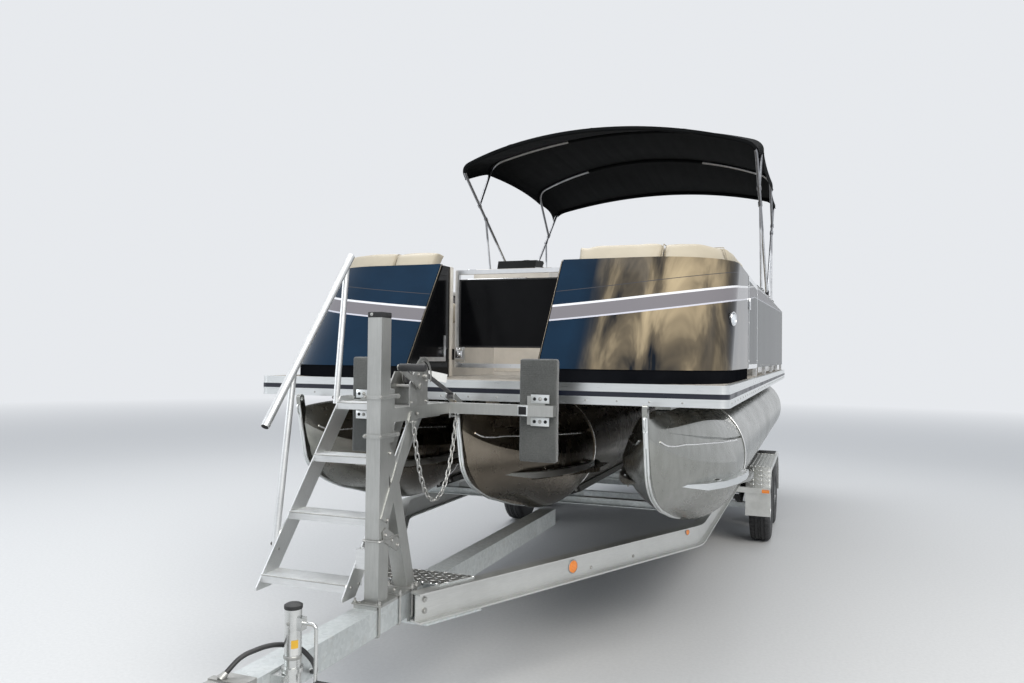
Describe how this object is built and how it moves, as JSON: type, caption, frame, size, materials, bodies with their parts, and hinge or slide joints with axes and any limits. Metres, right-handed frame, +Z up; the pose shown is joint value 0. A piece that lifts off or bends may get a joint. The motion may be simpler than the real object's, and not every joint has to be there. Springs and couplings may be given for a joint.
{
  "type": "pontoon boat on its trailer",
  "caption": "Three-tube pontoon boat with fenced deck, couches, helm, cloth canopy and outboard, parked on a tandem-axle bunk trailer with boarding ladder, winch and jack.",
  "frame": {"origin": "centre of the whole object's footprint, on the ground", "axes": "+Z up, -Y towards the bow, +X to port"},
  "size_m": [2.591, 10.002, 3.7576],
  "materials": {
    "galvanised": "satin",
    "vinyl": "soft matte",
    "bow_tube": "satin",
    "canopy_cloth": "woven",
    "carpet": "carpet",
    "silver_tube": "satin",
    "black_panel": "gloss",
    "navy_gelcoat": "gloss",
    "engine_paint": "gloss",
    "hose_rubber": "satin",
    "mill_aluminium": "brushed",
    "deck_covering": "woven vinyl",
    "rail_aluminium": "satin",
    "diamond_plate": "diamond plate",
    "console_gelcoat": "gloss",
    "black_plastic": "satin",
    "zinc": "zinc plated",
    "ladder_aluminium": "mill",
    "spring_steel": "satin",
    "lamp": "gloss",
    "prop_metal": "satin",
    "navy_rubber": "satin",
    "tyre": "matte",
    "rim_metal": "satin",
    "webbing": "woven"
  },
  "bodies": {
    "boat": {"axles": "galvanised", "back_cushions": "vinyl", "bimini_bows": "bow_tube", "bimini_canvas": "canopy_cloth", "bimini_main_bows": "bow_tube", "bow_boards": "carpet", "bow_panels": "navy_gelcoat", "bow_returns": "black_panel", "brake_hose": "hose_rubber", "bunks": "carpet", "chair_pedestal": "silver_tube", "clamp_bracket": "engine_paint", "coupler": "zinc", "cross_beams": "galvanised", "deck_beams": "mill_aluminium", "deck_floor": "deck_covering", "deck_rail": "rail_aluminium", "fence_frames": "silver_tube", "fenders": "diamond_plate", "frame_rails": "galvanised", "helm_console": "console_gelcoat", "helm_hood": "black_plastic", "jack_tube": "zinc", "kick_panels": "black_panel", "ladder_sides": "ladder_aluminium", "ladder_treads": "ladder_aluminium", "leaf_springs": "spring_steel", "lights": "lamp", "motor_pod": "mill_aluminium", "pontoon_centre": "mill_aluminium", "pontoon_port": "mill_aluminium", "pontoon_starboard": "mill_aluminium", "rub_insert": "navy_rubber", "safety_chain": "zinc", "seat_bases": "console_gelcoat", "seat_cushions": "vinyl", "side_panels": "navy_gelcoat", "tongue": "galvanised", "winch": "zinc", "winch_stand": "galvanised", "winch_strap": "webbing"},
    "bow_gate_leaf": {"bow_gate_frame": "silver_tube", "bow_gate_panel": "black_panel"},
    "side_gate_leaf": {"side_gate": "silver_tube"},
    "stern_gate_leaf": {"stern_gate": "silver_tube"},
    "helm_wheel_body": {"helm_wheel": "black_plastic"},
    "helm_seat": {"helm_chair": "vinyl"},
    "outboard_bracket": {"swivel_bracket": "engine_paint"},
    "outboard": {"outboard_leg": "engine_paint", "outboard_cowl": "engine_paint"},
    "propeller_body": {"propeller": "prop_metal"},
    "jack_foot": {"jack_leg": "zinc"},
    "wheel_front_port": {"tyre_front_port": "tyre", "rim_front_port": "rim_metal"},
    "wheel_front_starboard": {"tyre_front_starboard": "tyre", "rim_front_starboard": "rim_metal"},
    "wheel_rear_port": {"tyre_rear_port": "tyre", "rim_rear_port": "rim_metal"},
    "wheel_rear_starboard": {"tyre_rear_starboard": "tyre", "rim_rear_starboard": "rim_metal"}
  },
  "joints": [
    {"name": "wheel_front_port_spin", "type": "hinge", "parent": "boat", "child": "wheel_front_port", "pos_m": [1.192, 1.179, 0.313], "axis": [1, 0, 0], "continuous": true},
    {"name": "wheel_front_starboard_spin", "type": "hinge", "parent": "boat", "child": "wheel_front_starboard", "pos_m": [-1.192, 1.179, 0.313], "axis": [1, 0, 0], "continuous": true},
    {"name": "wheel_rear_port_spin", "type": "hinge", "parent": "boat", "child": "wheel_rear_port", "pos_m": [1.192, 1.992, 0.313], "axis": [1, 0, 0], "continuous": true},
    {"name": "wheel_rear_starboard_spin", "type": "hinge", "parent": "boat", "child": "wheel_rear_starboard", "pos_m": [-1.192, 1.992, 0.313], "axis": [1, 0, 0], "continuous": true},
    {"name": "bow_gate_hinge", "type": "hinge", "parent": "boat", "child": "bow_gate_leaf", "pos_m": [0.3275, -2.2985, 1.604], "axis": [0, 0, 1], "range_deg": [-90, 0]},
    {"name": "side_gate_hinge", "type": "hinge", "parent": "boat", "child": "side_gate_leaf", "pos_m": [1.2445, -0.5535, 1.608], "axis": [0, 0, 1], "range_deg": [-90, 0]},
    {"name": "stern_gate_hinge", "type": "hinge", "parent": "boat", "child": "stern_gate_leaf", "pos_m": [-1.1985, 3.3915, 1.608], "axis": [0, 0, 1], "range_deg": [-90, 0]},
    {"name": "outboard_tilt", "type": "hinge", "parent": "boat", "child": "outboard_bracket", "pos_m": [0, 4.367, 1.469], "axis": [1, 0, 0], "range_deg": [0, 60]},
    {"name": "outboard_steer", "type": "hinge", "parent": "outboard_bracket", "child": "outboard", "pos_m": [0, 4.434, 1.3], "axis": [0, 0, 1], "range_deg": [-30, 30]},
    {"name": "propeller_spin", "type": "hinge", "parent": "outboard", "child": "propeller_body", "pos_m": [0, 4.941, 0.609], "axis": [0, 1, 0], "continuous": true},
    {"name": "helm_wheel_turn", "type": "hinge", "parent": "boat", "child": "helm_wheel_body", "pos_m": [-0.76, 0.074, 2.322], "axis": [0, 0.8829, 0.4695], "range_deg": [-630, 630]},
    {"name": "helm_chair_swivel", "type": "hinge", "parent": "boat", "child": "helm_seat", "pos_m": [-0.76, 0.919, 1.9], "axis": [0, 0, 1], "range_deg": [-180, 180]},
    {"name": "jack_slide", "type": "slide", "parent": "boat", "child": "jack_foot", "axis": [0, 0, 1], "range_m": [-0.1, 0.25]}
  ],
  "couplings": [
    {"joint": "helm_wheel_turn", "follows": "outboard_steer", "ratio": -21}
  ]
}
